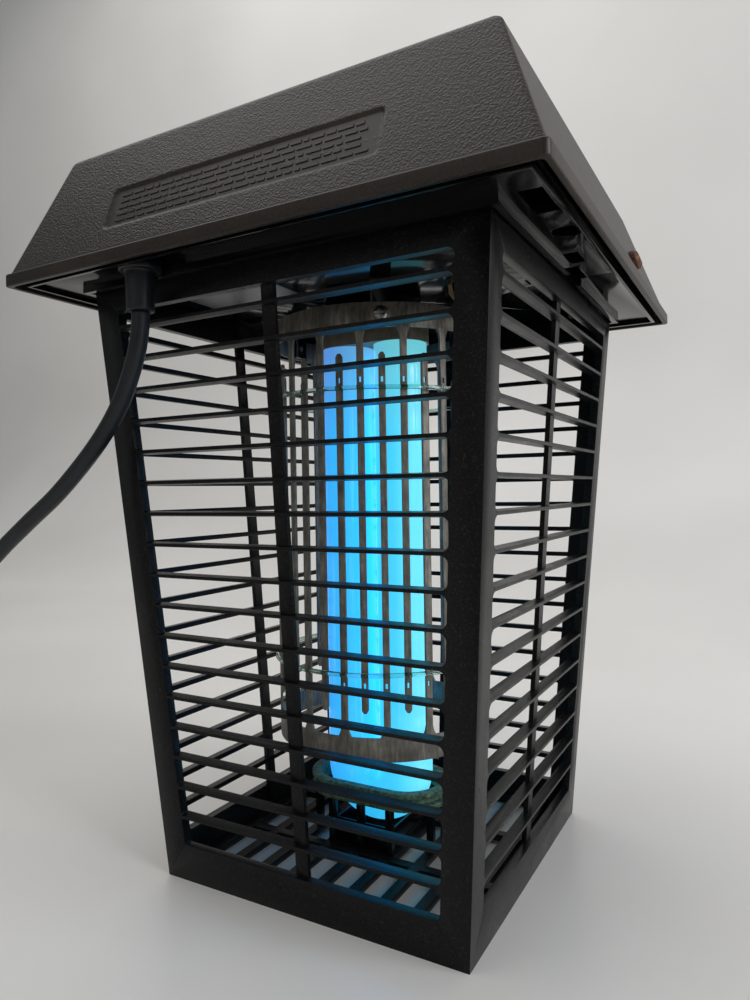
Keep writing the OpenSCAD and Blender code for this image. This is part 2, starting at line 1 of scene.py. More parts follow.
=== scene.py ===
"""Looks of the lantern insect killer: camera, lead, roof, cage, lamp, combs and their finishes."""

import json
import math

import bmesh
import bpy
import numpy as np
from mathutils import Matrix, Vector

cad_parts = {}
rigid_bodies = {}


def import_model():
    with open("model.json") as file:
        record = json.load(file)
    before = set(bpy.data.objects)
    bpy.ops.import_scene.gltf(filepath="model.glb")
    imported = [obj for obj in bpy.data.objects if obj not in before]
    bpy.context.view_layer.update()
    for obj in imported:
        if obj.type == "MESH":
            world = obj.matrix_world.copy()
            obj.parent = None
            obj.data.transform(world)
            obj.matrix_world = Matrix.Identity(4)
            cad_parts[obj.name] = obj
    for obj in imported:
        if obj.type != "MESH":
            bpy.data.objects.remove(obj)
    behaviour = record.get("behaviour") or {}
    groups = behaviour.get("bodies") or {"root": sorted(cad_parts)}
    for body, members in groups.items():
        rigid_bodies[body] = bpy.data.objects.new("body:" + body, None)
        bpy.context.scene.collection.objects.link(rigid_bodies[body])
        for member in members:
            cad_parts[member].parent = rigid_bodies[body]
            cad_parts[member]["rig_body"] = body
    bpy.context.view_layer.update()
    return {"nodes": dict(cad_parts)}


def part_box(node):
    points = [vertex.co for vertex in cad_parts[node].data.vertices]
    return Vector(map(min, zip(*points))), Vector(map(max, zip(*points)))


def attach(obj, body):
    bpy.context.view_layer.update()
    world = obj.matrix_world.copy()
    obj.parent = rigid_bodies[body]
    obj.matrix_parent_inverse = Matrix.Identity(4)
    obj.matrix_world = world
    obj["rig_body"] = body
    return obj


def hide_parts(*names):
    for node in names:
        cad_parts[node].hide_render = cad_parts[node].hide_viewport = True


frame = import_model()
MM = 0.001


# ---------- camera ----------

CAMERA_AT = (0.17381, -0.31647, 0.17614)
CAMERA_TURN = (29.281, -0.681, -0.907)  # yaw, pitch and roll in degrees
CAMERA_LENS = 25.95


def make_camera():
    """Camera whose right, up and backward axes come from yaw, then pitch, then roll."""
    yaw, pitch, roll = np.radians(CAMERA_TURN)
    ahead = np.array([-math.sin(yaw) * math.cos(pitch), math.cos(yaw) * math.cos(pitch), math.sin(pitch)])
    level = np.array([math.cos(yaw), math.sin(yaw), 0.0])
    upright = np.cross(level, ahead)
    right = math.cos(roll) * level + math.sin(roll) * upright
    up = -math.sin(roll) * level + math.cos(roll) * upright
    matrix = np.eye(4)
    matrix[:3, 0], matrix[:3, 1], matrix[:3, 2], matrix[:3, 3] = right, up, -ahead, CAMERA_AT
    data = bpy.data.cameras.new("camera")
    data.sensor_width = 36.0
    data.lens = CAMERA_LENS
    data.clip_start = 0.01
    camera = bpy.data.objects.new("camera", data)
    bpy.context.scene.collection.objects.link(camera)
    camera.matrix_world = matrix.T.tolist()
    bpy.context.scene.camera = camera


make_camera()


# ---------- materials: helpers ----------

def linear(hex_colour, alpha=1.0):
    """Linear RGBA of an sRGB hex colour."""
    srgb = np.array([int(hex_colour[i:i + 2], 16) for i in (1, 3, 5)]) / 255.0
    value = np.where(srgb <= 0.04045, srgb / 12.92, ((srgb + 0.055) / 1.055) ** 2.4)
    return (*value.tolist(), alpha)


def node(tree, kind, inputs=None, **settings):
    """Adds one shader node, sets its settings, and sets or links its inputs."""
    made = tree.nodes.new("ShaderNode" + kind)
    for name, value in settings.items():
        setattr(made, name, value)
    for name, value in (inputs or {}).items():
        if isinstance(value, bpy.types.NodeSocket):
            tree.links.new(value, made.inputs[name])
        else:
            made.inputs[name].default_value = value
    return made


def start(name, **sockets):
    """New material with a Principled shader whose constant sockets are set.
    Gives the material, its tree, the shader and the Object coordinates."""
    material = bpy.data.materials.new(name)
    material.use_nodes = True
    tree = material.node_tree
    shader = tree.nodes["Principled BSDF"]
    for socket, value in sockets.items():
        shader.inputs[socket.replace("_", " ")].default_value = value
    place = node(tree, "TexCoord").outputs["Object"]
    return material, tree, shader, place


def ramp(tree, fac, stops):
    """Colour ramp through (position, hex or grey level) stops."""
    made = node(tree, "ValToRGB", {"Fac": fac})
    elements = made.color_ramp.elements
    while len(elements) < len(stops):
        elements.new(0.5)
    for element, (position, colour) in zip(elements, stops):
        element.position = position
        element.color = linear(colour) if isinstance(colour, str) else (colour, colour, colour, 1.0)
    return made.outputs["Color"]


def noise(tree, place, size_mm, detail=2.0, rough=0.5):
    """Noise whose features are about size_mm across."""
    inputs = {"Vector": place, "Scale": 1.0 / (size_mm * MM), "Detail": detail, "Roughness": rough}
    return node(tree, "TexNoise", inputs).outputs["Fac"]


def stretched(tree, place, scale):
    """The place with each axis multiplied, to draw a pattern out along an axis."""
    return node(tree, "Mapping", {"Vector": place, "Scale": scale}).outputs["Vector"]


def bump(tree, shader, height, depth_mm, strength=1.0):
    """Bump of the given depth on the shader."""
    made = node(tree, "Bump", {"Height": height, "Distance": depth_mm * MM, "Strength": strength})
    tree.links.new(made.outputs["Normal"], shader.inputs["Normal"])


def math_node(tree, operation, *values):
    """One arithmetic node on two or three values."""
    return node(tree, "Math", dict(enumerate(values)), operation=operation).outputs[0]


def mix(tree, share, low, high):
    """Colour that goes from low to high as the share goes from 0 to 1."""
    return node(tree, "Mix", {"Factor": share, 6: low, 7: high}, data_type="RGBA").outputs[2]


def share_between(tree, value, low, high):
    """Share from 0 to 1 as the value goes from low to high."""
    return node(tree, "MapRange", {"Value": value, "From Min": low, "From Max": high}).outputs[0]


# ---------- materials ----------

GRAIN_WARP = 0.0016           # how far the pebbles' outlines are pushed about, metres
LAMP_SIDES = (-0.032, 0.025)  # left and right of the two legs, metres
CAP_SHADE = (0.2, 0.25)       # heights between which the glow turns duller, metres


def leather_grain_abs():
    """Moulded ABS with a leather grain cut into the mould: warm black, with pebbles about 1 mm across
    whose tops are painted paler as a highlight."""
    material, tree, shader, place = start("leather_grain_abs", Roughness=0.42, Specular_IOR_Level=0.35)
    grain = node(tree, "Attribute", attribute_name="grain").outputs["Fac"]
    warp = node(tree, "TexNoise", {"Vector": place, "Scale": 380.0, "Detail": 2.0}).outputs["Color"]
    warped = node(tree, "VectorMath", {0: warp, 1: (GRAIN_WARP,) * 3, 2: place}, operation="MULTIPLY_ADD")
    pebble = node(tree, "TexVoronoi", {"Vector": warped.outputs[0], "Scale": 1150.0, "Smoothness": 0.7},
                  feature="SMOOTH_F1").outputs["Distance"]
    pebble_top = ramp(tree, pebble, [(0.15, 1.0), (0.62, 0.0)])
    moulded = math_node(tree, "MULTIPLY", pebble_top, grain)
    fine = noise(tree, place, 0.4, 3.0)
    bump(tree, shader, math_node(tree, "MULTIPLY_ADD", fine, 0.22, moulded), 0.11)
    dust = noise(tree, place, 26, 5.0, 0.62)
    colour = ramp(tree, dust, [(0.3, "#19130e"), (0.55, "#211a13"), (0.75, "#30271d")])
    # painted highlight: each pebble's top is mixed towards a paler brown
    colour_with_painted_highlight = mix(tree, math_node(tree, "MULTIPLY", pebble_top, 0.3), colour, linear("#403528"))
    tree.links.new(colour_with_painted_highlight, shader.inputs["Base Color"])
    return material


def spark_textured_abs():
    """Black ABS from a spark-eroded mould: a satin tooth of about half a millimetre with paler specks
    painted on as glints.
    """
    material, tree, shader, place = start("spark_textured_abs", Specular_IOR_Level=0.16)
    tooth = noise(tree, place, 0.55, 3.0, 0.6)
    bump(tree, shader, tooth, 0.14, 0.9)
    glint_specks = noise(tree, place, 0.9, 2.0, 0.7)
    # painted glints: paler specks scattered over the black
    colour = ramp(tree, glint_specks, [(0.45, "#0a0a0b"), (0.6, "#131313"), (0.72, "#302f2c")])
    tree.links.new(colour, shader.inputs["Base Color"])
    rough = ramp(tree, noise(tree, place, 18, 4.0), [(0.3, 0.26), (0.7, 0.36)])
    tree.links.new(rough, shader.inputs["Roughness"])
    return material


def gloss_abs(name="gloss_abs", low="#060607", high="#0c0d0e", rough=(0.07, 0.18)):
    """Black ABS from a polished mould: mirror-like, dulled in patches by dust and wiping."""
    material, tree, shader, place = start(name, Specular_IOR_Level=0.3)
    haze = noise(tree, place, 30, 6.0, 0.65)
    tree.links.new(ramp(tree, haze, [(0.35, low), (0.7, high)]), shader.inputs["Base Color"])
    tree.links.new(ramp(tree, haze, [(0.3, rough[0]), (0.7, rough[1])]), shader.inputs["Roughness"])
    bump(tree, shader, noise(tree, place, 9, 2.0), 0.03, 0.5)
    return material


def weathered_galvanised_steel():
    """Galvanised sheet gone dull: brown-grey zinc carbonate in upright streaks with a gritty crust."""
    material, tree, shader, place = start("weathered_galvanised_steel", Metallic=0.5)
    streaks = noise(tree, stretched(tree, place, (1.0, 1.0, 0.16)), 1.4, 4.0, 0.65)
    blotch = math_node(tree, "MULTIPLY", noise(tree, place, 9, 5.0, 0.6), 0.45)
    mixed = math_node(tree, "MULTIPLY_ADD", streaks, 0.55, blotch)
    colour = ramp(tree, mixed, [(0.32, "#55534c"), (0.48, "#75726a"), (0.6, "#908c82"), (0.74, "#bab6ac")])
    tree.links.new(colour, shader.inputs["Base Color"])
    tree.links.new(ramp(tree, mixed, [(0.3, 0.62), (0.7, 0.42)]), shader.inputs["Roughness"])
    bump(tree, shader, noise(tree, place, 0.8, 3.0, 0.7), 0.06, 0.6)
    return material


def green_crusted_steel():
    """Plated hoop gone green and chalky, darkest in its folds."""
    material, tree, shader, place = start("green_crusted_steel", Metallic=0.15, Roughness=0.62)
    crust = noise(tree, place, 2.2, 5.0, 0.7)
    colour = ramp(tree, crust, [(0.34, "#20392e"), (0.5, "#47705c"), (0.62, "#6f8573"), (0.76, "#a8a494")])
    tree.links.new(colour, shader.inputs["Base Color"])
    bump(tree, shader, crust, 0.3, 0.8)
    return material


def lamp_glass():
    """Phosphor-coated lamp glass, lit: blue to cyan across its width, with faint upright streaks and
    duller towards the cap."""
    material, tree, shader, place = start("lit_lamp_glass", Roughness=0.12, Emission_Strength=0.9)
    split = node(tree, "SeparateXYZ", {"Vector": place})
    across = share_between(tree, split.outputs["X"], *LAMP_SIDES)
    colour = ramp(tree, across, [(0.0, "#3a9cf6"), (0.25, "#36b4fa"), (0.55, "#33c2fa"),
                                 (0.8, "#45cdf9"), (1.0, "#6ddcf8")])
    streak = noise(tree, stretched(tree, place, (1.0, 1.0, 0.03)), 2.4, 3.0)
    streaked = mix(tree, ramp(tree, streak, [(0.56, 0.0), (0.74, 0.22)]), colour, linear("#8fe6fb"))
    dull = ramp(tree, across, [(0.2, "#5b8fd6"), (0.8, "#6cc5cf")])
    shade = mix(tree, share_between(tree, split.outputs["Z"], *CAP_SHADE), streaked, dull)
    tree.links.new(shade, shader.inputs["Emission Color"])
    tree.links.new(shade, shader.inputs["Base Color"])
    return material


def taupe_bakelite():
    """Moulded phenolic lamp cap: taupe, slightly satin, with a faint mottle."""
    material, tree, shader, place = start("taupe_phenolic", Roughness=0.42)
    colour = ramp(tree, noise(tree, place, 5, 4.0), [(0.35, "#6d6355"), (0.65, "#857a6a")])
    tree.links.new(colour, shader.inputs["Base Color"])
    bump(tree, shader, noise(tree, place, 1.0, 2.0), 0.03, 0.5)
    return material


def clear_styrene():
    """Clear polystyrene yellowed by the lamp, almost gone against the light."""
    material, tree, shader, place = start("clear_polystyrene", IOR=1.5, Transmission_Weight=1.0)
    colour = ramp(tree, noise(tree, place, 8, 3.0), [(0.3, "#b9dcd2"), (0.7, "#d6ede4")])
    tree.links.new(colour, shader.inputs["Base Color"])
    rough = ramp(tree, noise(tree, place, 12, 2.0), [(0.3, 0.04), (0.7, 0.1)])
    tree.links.new(rough, shader.inputs["Roughness"])
    return material


def rusted_steel():
    """Plain steel screw left outdoors: brown scale with orange bloom in the pits."""
    material, tree, shader, place = start("rusted_steel", Metallic=0.3)
    scale = noise(tree, place, 1.3, 5.0, 0.7)
    colour = ramp(tree, scale, [(0.35, "#2a1d16"), (0.5, "#5a3c29"), (0.62, "#84573a"), (0.75, "#a97c58")])
    tree.links.new(colour, shader.inputs["Base Color"])
    tree.links.new(ramp(tree, scale, [(0.3, 0.5), (0.7, 0.8)]), shader.inputs["Roughness"])
    bump(tree, shader, scale, 0.2, 0.8)
    return material


def plated_steel(name, low, high, rough=(0.25, 0.4)):
    """Metal part with faint drawn lines along its length and a thin film of grime."""
    material, tree, shader, place = start(name, Metallic=1.0)
    film = noise(tree, stretched(tree, place, (0.25, 1.0, 1.0)), 1.2, 4.0)
    tree.links.new(ramp(tree, film, [(0.3, low), (0.7, high)]), shader.inputs["Base Color"])
    tree.links.new(ramp(tree, film, [(0.3, rough[0]), (0.7, rough[1])]), shader.inputs["Roughness"])
    bump(tree, shader, film, 0.02, 0.5)
    return material


def vulcanised_rubber():
    """Black rubber-jacketed lead and mouldings: satin, with a grey bloom and fine extrusion tooth."""
    material, tree, shader, place = start("vulcanised_rubber", Specular_IOR_Level=0.3)
    bloom = noise(tree, place, 14, 4.0, 0.6)
    tree.links.new(ramp(tree, bloom, [(0.35, "#131518"), (0.7, "#1f2226")]), shader.inputs["Base Color"])
    tree.links.new(ramp(tree, bloom, [(0.3, 0.34), (0.7, 0.46)]), shader.inputs["Roughness"])
    bump(tree, shader, noise(tree, place, 0.7, 2.0), 0.03, 0.6)
    return material


def moulded_plastic(name, low, high, rough=0.4, size_mm=4.0):
    """Self-coloured moulded or extruded plastic with a slight mottle."""
    material, tree, shader, place = start(name, Roughness=rough)
    mottle = noise(tree, place, size_mm, 4.0)
    tree.links.new(ramp(tree, mottle, [(0.3, low), (0.7, high)]), shader.inputs["Base Color"])
    bump(tree, shader, mottle, 0.03, 0.5)
    return material


def varnished_laminations():
    """Stack of 0.5 mm core plates under brown varnish: fine lines across the stack."""
    material, tree, shader, place = start("varnished_laminations", Metallic=0.5, Roughness=0.4)
    plates = node(tree, "TexWave", {"Vector": place, "Scale": 314.0, "Distortion": 0.4},
                  bands_direction="Y").outputs["Fac"]
    tree.links.new(ramp(tree, plates, [(0.2, "#2b2825"), (0.6, "#57514a")]), shader.inputs["Base Color"])
    bump(tree, shader, plates, 0.05, 0.7)
    return material


FINISH = {
    "leather": leather_grain_abs(),
    "cage": spark_textured_abs(),
    "gloss": gloss_abs(),
    "insulator": gloss_abs("black_polycarbonate", "#08080a", "#0e0f11", (0.14, 0.28)),
    "comb": weathered_galvanised_steel(),
    "ring": green_crusted_steel(),
    "lamp": lamp_glass(),
    "cap": taupe_bakelite(),
    "clear": clear_styrene(),
    "rust": rusted_steel(),
    "steel": plated_steel("zinc_plated_steel", "#8d8d8a", "#b5b5b1"),
    "brass": plated_steel("drawn_brass", "#a5813f", "#c9a560"),
    "foil": plated_steel("printed_foil", "#7b7d80", "#96989b", (0.3, 0.45)),
    "can": plated_steel("drawn_aluminium", "#a9abad", "#c5c7c9", (0.22, 0.35)),
    "rubber": vulcanised_rubber(),
    "red": moulded_plastic("red_pvc", "#7e1a1d", "#a3262b", 0.35),
    "beige": moulded_plastic("beige_pvc", "#a8966f", "#c8b48a", 0.35),
    "nut": moulded_plastic("orange_nylon", "#a8601a", "#c9832d"),
    "white": moulded_plastic("white_urea", "#c9c5b8", "#dedacf"),
    "core": varnished_laminations(),
    "tape": moulded_plastic("amber_winding_tape", "#6b4320", "#94622f", 0.3, 2.0),
}


# ---------- meshes: helpers ----------

def mesh_piece(name, points, faces, finish, body, smooth=True):
    """Object at the origin from an array of points and a list of faces, riding on a body."""
    mesh = bpy.data.meshes.new(name)
    mesh.from_pydata(np.asarray(points, float).reshape(-1, 3).tolist(), [], faces)
    mesh.validate()
    tool = bmesh.new()
    tool.from_mesh(mesh)
    bmesh.ops.remove_doubles(tool, verts=tool.verts, dist=1e-6)
    bmesh.ops.recalc_face_normals(tool, faces=tool.faces)
    tool.to_mesh(mesh)
    tool.free()
    if smooth:
        mesh.polygons.foreach_set("use_smooth", np.ones(len(mesh.polygons), bool))
    piece = bpy.data.objects.new(name, mesh)
    bpy.context.scene.collection.objects.link(piece)
    mesh.materials.append(FINISH[finish])
    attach(piece, body)
    return piece


def grid_faces(rows, columns, around=False):
    """Quads of a grid of rows by columns; around joins the last column to the first."""
    last = columns if around else columns - 1
    r, c = np.meshgrid(np.arange(rows - 1), np.arange(last), indexing="ij")
    n = (c + 1) % columns
    low, high = r * columns, (r + 1) * columns
    return np.stack([low + c, low + n, high + n, high + c], axis=-1).reshape(-1, 4).tolist()


OPEN_EDGE = 3.2    # angle in radians taken for an edge that has no second face: more than any real one
EASED_FROM = 28.0  # edges sharper than this many degrees are rounded off


def sharp_by_angle(piece, degrees):
    """Smooth shading that stays crisp where two faces meet at more than the angle."""
    tool = bmesh.new()
    tool.from_mesh(piece.data)
    for edge in tool.edges:
        edge.smooth = edge.calc_face_angle(OPEN_EDGE) < math.radians(degrees)
    tool.to_mesh(piece.data)
    tool.free()


def catmull_rom(points, steps):
    """Smooth line through the points: on each span the cubic whose end slopes are half the
    neighbours' difference."""
    p = np.vstack([2 * points[0] - points[1], points, 2 * points[-1] - points[-2]])
    t = (np.arange(steps) / steps)[None, :, None]
    a, b, c, d = (p[i:len(p) - 3 + i, None, :] for i in range(4))
    line = 0.5 * (2 * b + (c - a) * t + (2 * a - 5 * b + 4 * c - d) * t ** 2
                  + (3 * b - a - 3 * c + d) * t ** 3)
    return np.vstack([line.reshape(-1, 3), points[-1:]])


def frames_along(path):
    """Side and up at each point of a path, each pair turned on from the last with no twist."""
    tangent = np.gradient(path, axis=0)
    tangent /= np.linalg.norm(tangent, axis=1, keepdims=True)
    up = np.array([0.0, 1.0, 0.0])
    ups = []
    for t in tangent:
        up = up - t * (up @ t)
        up /= np.linalg.norm(up)
        ups.append(up)
    ups = np.array(ups)
    return np.cross(tangent, ups), ups


def tube_piece(name, path, radius, sides, finish, body):
    """Closed round tube: path plus radius times cosine on the side axis and sine on the up axis."""
    side, up = frames_along(path)
    angle = (np.arange(sides) * 2 * math.pi / sides)[None, :, None]
    points = path[:, None] + radius * (np.cos(angle) * side[:, None] + np.sin(angle) * up[:, None])
    rows = len(path)
    faces = grid_faces(rows, sides, True)
    faces += [list(range(sides))[::-1], list(range((rows - 1) * sides, rows * sides))]
    return mesh_piece(name, points, faces, finish, body)


def body_of(name):
    """The body that a CAD node rides on."""
    return frame["nodes"][name]["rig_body"]


def paint(name, finish):
    """Gives a CAD node its finish."""
    mesh = frame["nodes"][name].data
    mesh.materials.clear()
    mesh.materials.append(FINISH[finish])


def eased(name, finish, width_mm, segments=2):
    """Stands for a CAD node: its own solid with every sharp edge rounded off."""
    mesh = frame["nodes"][name].data.copy()
    tool = bmesh.new()
    tool.from_mesh(mesh)
    bmesh.ops.remove_doubles(tool, verts=tool.verts, dist=2e-6)
    bmesh.ops.dissolve_limit(tool, angle_limit=math.radians(0.5), verts=tool.verts, edges=tool.edges)
    tool.to_mesh(mesh)
    tool.free()
    mesh.materials.clear()
    mesh.materials.append(FINISH[finish])
    piece = bpy.data.objects.new(name + "_eased", mesh)
    bpy.context.scene.collection.objects.link(piece)
    mesh.polygons.foreach_set("use_smooth", np.ones(len(mesh.polygons), bool))
    bevel = piece.modifiers.new("eased_edges", "BEVEL")
    bevel.width = width_mm * MM
    bevel.segments = segments
    bevel.limit_method = "ANGLE"
    bevel.angle_limit = math.radians(EASED_FROM)
    bevel.harden_normals = True
    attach(piece, body_of(name))
    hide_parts(name)
    return piece


# ---------- lead ----------

CORD_ROUTE = np.array([
    (-54.7, -103.5, 251.5), (-55.2, -103.5, 245), (-57, -103.5, 237),
    (-60.5, -103.5, 228), (-66, -103.5, 217.5), (-74, -103.5, 207),
    (-84, -103.5, 197), (-96, -103.5, 187), (-111, -103.5, 176),
    (-129, -103.5, 165), (-151, -103.5, 151), (-172, -104, 135),
    (-191, -105, 116), (-207, -107, 94), (-220, -110, 71),
    (-232, -114, 49), (-245, -119, 30), (-260, -125, 15),
    (-276, -133, 6.5), (-289, -145, 4), (-296, -160, 3.8),
    (-295, -176, 3.8), (-287, -189, 3.8), (-274, -197, 3.8),
    (-259, -200, 4.4), (-245, -200, 5.8), (-231, -200, 7.4),
    (-218, -200, 8),
]) * MM
CORD_D = 7.4 * MM


def make_lead():
    """The lead as a smooth tube on its route, with its plug and blades."""
    path = catmull_rom(CORD_ROUTE, 6)
    lead = tube_piece("lead", path, CORD_D / 2, 24, "rubber", "head")
    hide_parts("power_cord")
    plug = eased("plug_body", "rubber", 0.8, 3)
    blades = eased("plug_blades", "brass", 0.25)


make_lead()


# ---------- roof ----------

def rounded_line(corners, steps=4):
    """Polyline with each corner (a, b, cut) replaced by the quadratic curve between the points
    cut away from it."""
    points = np.array([c[:2] for c in corners], float)
    cuts = [c[2] for c in corners[1:-1]]
    line = [points[:1]]
    for before, corner, after, cut in zip(points, points[1:], points[2:], cuts):
        a = corner + cut * (before - corner) / np.linalg.norm(before - corner)
        b = corner + cut * (after - corner) / np.linalg.norm(after - corner)
        t = np.linspace(0, 1, steps + 1)[:, None]
        line.append((1 - t) ** 2 * a + 2 * t * (1 - t) * corner + t ** 2 * b)
    return np.vstack(line + [points[-1:]])


def square_ring(front_columns, side_columns, arc=6):
    """Unit vectors of a rounded square: first the place on the straight part, then the corner's share."""
    straight, corner = [], []
    for side, count in enumerate((front_columns, side_columns, side_columns, side_columns)):
        turn = math.radians(side * 90)
        out, run = np.array([math.sin(turn), -math.cos(turn)]), np.array([math.cos(turn), math.sin(turn)])
        s = np.linspace(-1, 1, count)[:, None]
        straight.append(out + s * run)
        corner.append(np.repeat(out[None], count, 0))
        angle = np.linspace(0, math.pi / 2, arc + 2)[1:-1, None]
        straight.append(np.repeat((out + run)[None], arc, 0))
        corner.append(np.cos(angle) * out + np.sin(angle) * run)
    return np.vstack(straight), np.vstack(corner)


HOOD_LOW, HOOD_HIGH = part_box("hood")
EAVES = HOOD_HIGH.x / MM
ROOF_TOP = HOOD_HIGH.z / MM
LIP_LOW = HOOD_LOW.z / MM
ROOF_TOP_HALF = 99.2
SLOPE_FOOT = (118.5, 273.2)
SLOPE_RUN = (SLOPE_FOOT[0] - ROOF_TOP_HALF) / (ROOF_TOP - SLOPE_FOOT[1])
SLOPE_TILT = math.atan(SLOPE_RUN)
ROOF_WALL = 2.4
ROOF_CORNER = 2.2                       # radius of the four upright corners
SLOPE_STEP, PLAIN_STEP = 0.75, 16.0     # longest mesh step on the outer slope and elsewhere
FRONT_COLUMNS, SIDE_COLUMNS = 330, 40   # mesh columns on the panel's side and on the others
PANEL_X, PANEL_Z = 0.0, 292.5
PANEL_HALF_LENGTH, PANEL_HALF_HEIGHT = 63.0, 9.4
PANEL_DEPTH = 0.8
PANEL_CORNER = 2.0
PANEL_EDGE = 0.7                        # width over which the panel's edge sinks


def make_roof():
    """Roof shell: the wall's section carried round a square with small round corners.
    Each point is (half width - radius) on the straight part plus radius on the corner; the sunk panel is a
    push inwards where a rounded rectangle's distance is negative."""
    foot_w, foot_z = SLOPE_FOOT
    outer = rounded_line([
        (0, ROOF_TOP), (ROOF_TOP_HALF, ROOF_TOP, 2.4), (foot_w, foot_z, 0.5),
        (EAVES, foot_z - 0.3, 0.7), (EAVES, LIP_LOW, 0.6), (EAVES - ROOF_WALL, LIP_LOW, 0.6),
        (EAVES - ROOF_WALL, foot_z - 0.6, 0.5), (foot_w - ROOF_WALL, foot_z, 0.5),
        (ROOF_TOP_HALF - ROOF_WALL, ROOF_TOP - ROOF_WALL, 0.5), (0, ROOF_TOP - ROOF_WALL)])
    rows_wz = []
    for a, b in zip(outer, outer[1:]):
        on_slope = abs(b[1] - a[1]) > 20 and a[0] < b[0]
        step = SLOPE_STEP if on_slope else PLAIN_STEP
        count = max(1, math.ceil(np.linalg.norm(b - a) / step))
        rows_wz.append(a + (b - a) * (np.arange(count) / count)[:, None])
    rows = np.vstack(rows_wz + [outer[-1:]])
    straight, corner = square_ring(FRONT_COLUMNS, SIDE_COLUMNS)
    half, z = rows[:, 0][:, None], rows[:, 1][:, None]
    radius = np.minimum(ROOF_CORNER, half)
    xy = (half - radius)[..., None] * straight[None] + radius[..., None] * corner[None]
    points = np.dstack([xy, np.broadcast_to(z, xy.shape[:2])])
    # outer slope rows only: those between the roof top's edge and the slope's foot on the way down
    is_outer = (np.arange(len(rows)) < np.argmax(rows[:, 1] <= foot_z + 0.01))[:, None]
    across = np.abs(points[..., 0] - PANEL_X) - PANEL_HALF_LENGTH + PANEL_CORNER
    up = np.abs((points[..., 2] - PANEL_Z) / math.cos(SLOPE_TILT)) - PANEL_HALF_HEIGHT + PANEL_CORNER
    outside = np.hypot(np.maximum(across, 0), np.maximum(up, 0))
    distance = outside + np.minimum(np.maximum(across, up), 0) - PANEL_CORNER
    front = (corner[:, 1] < -0.999)[None] & is_outer & (points[..., 2] < ROOF_TOP - 4)
    share = np.where(front, np.clip(0.5 - distance / PANEL_EDGE, 0, 1), 0.0)
    share = share * share * (3 - 2 * share)
    points[..., 1] += share * PANEL_DEPTH * math.cos(SLOPE_TILT)
    points[..., 2] -= share * PANEL_DEPTH * math.sin(SLOPE_TILT)
    grain = np.where(is_outer & (z > foot_z + 0.8), 1.0, 0.0) * (1 - share)
    places = points * MM
    faces = grid_faces(*points.shape[:2], True)
    piece = mesh_piece("roof_shell", places, faces, "leather", "head")
    # the mesh has lost its doubled points, so each remaining one looks its grain up by place
    grain_at = {tuple(np.round(p, 6)): g for p, g in zip(places.reshape(-1, 3).tolist(), grain.ravel())}
    values = [grain_at.get(tuple(np.round(v.co, 6)), 1.0) for v in piece.data.vertices]
    layer = piece.data.attributes.new("grain", "FLOAT", "POINT")
    layer.data.foreach_set("value", np.array(values, np.float32))
    sharp_by_angle(piece, 50)
    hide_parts("hood")


make_roof()


def box_points(centres, sizes, axes):
    """Eight corners of each small block, from its centre, half sizes and the three axes they share."""
    corner = np.array([(x, y, z) for z in (-1, 1) for y in (-1, 1) for x in (-1, 1)], float)
    return centres[:, None] + (corner[None] * sizes[:, None]) @ axes


BOX_FACES = np.array([(0, 2, 3, 1), (4, 5, 7, 6), (0, 1, 5, 4),
                      (2, 6, 7, 3), (0, 4, 6, 2), (1, 3, 7, 5)])


def blocks_piece(name, centres, sizes, axes, finish, body):
    """Many small blocks as one piece."""
    points = box_points(centres, sizes, axes)
    faces = (BOX_FACES[None] + 8 * np.arange(len(centres))[:, None, None]).reshape(-1, 4).tolist()
    return mesh_piece(name, points, faces, finish, body, smooth=False)


DASH_ROWS = 5
DASH_TOP, DASH_PITCH = 6.2, 3.1          # first row's place up the slope and the step to the next
FIRST_DASH_H, DASH_H = 1.3, 0.95         # height of the dashes in the first row and in the others
DASH_HALF_LENGTH = (1.0, 3.4)            # shortest and longest
DASH_GAP = (0.9, 1.6)
DASH_START, DASH_END = 5.0, 8.0          # left clear at the panel's two ends
DASH_HALF_THICK, DASH_OUT = 0.2, 0.08


def make_panel_dashes():
    """Plain raised dashes on the sunk panel: seeded lengths, in rows up the slope."""
    draw = np.random.default_rng(7)
    up = np.array([0, math.sin(SLOPE_TILT), math.cos(SLOPE_TILT)])
    out = np.array([0, -math.cos(SLOPE_TILT), math.sin(SLOPE_TILT)])
    panel_y = -(SLOPE_FOOT[0] - (PANEL_Z - SLOPE_FOOT[1]) * SLOPE_RUN)
    middle = np.array([PANEL_X, panel_y, PANEL_Z]) - out * PANEL_DEPTH
    centres, sizes = [], []
    for row in range(DASH_ROWS):
        height = DASH_H if row else FIRST_DASH_H
        row_up = up * (DASH_TOP - row * DASH_PITCH)
        x = -PANEL_HALF_LENGTH + DASH_START
        while x < PANEL_HALF_LENGTH - DASH_END:
            half = draw.uniform(*DASH_HALF_LENGTH)
            centres.append(middle + np.array([x + half, 0, 0]) + row_up + out * DASH_OUT)
            sizes.append((half, DASH_HALF_THICK, height / 2))
            x += 2 * half + draw.uniform(*DASH_GAP)
    axes = np.array([(1, 0, 0), out, up])
    blocks_piece("panel_dashes", np.array(centres) * MM, np.array(sizes) * MM, axes,
                 "leather", "head")


make_panel_dashes()


# ---------- cage, pan and works ----------

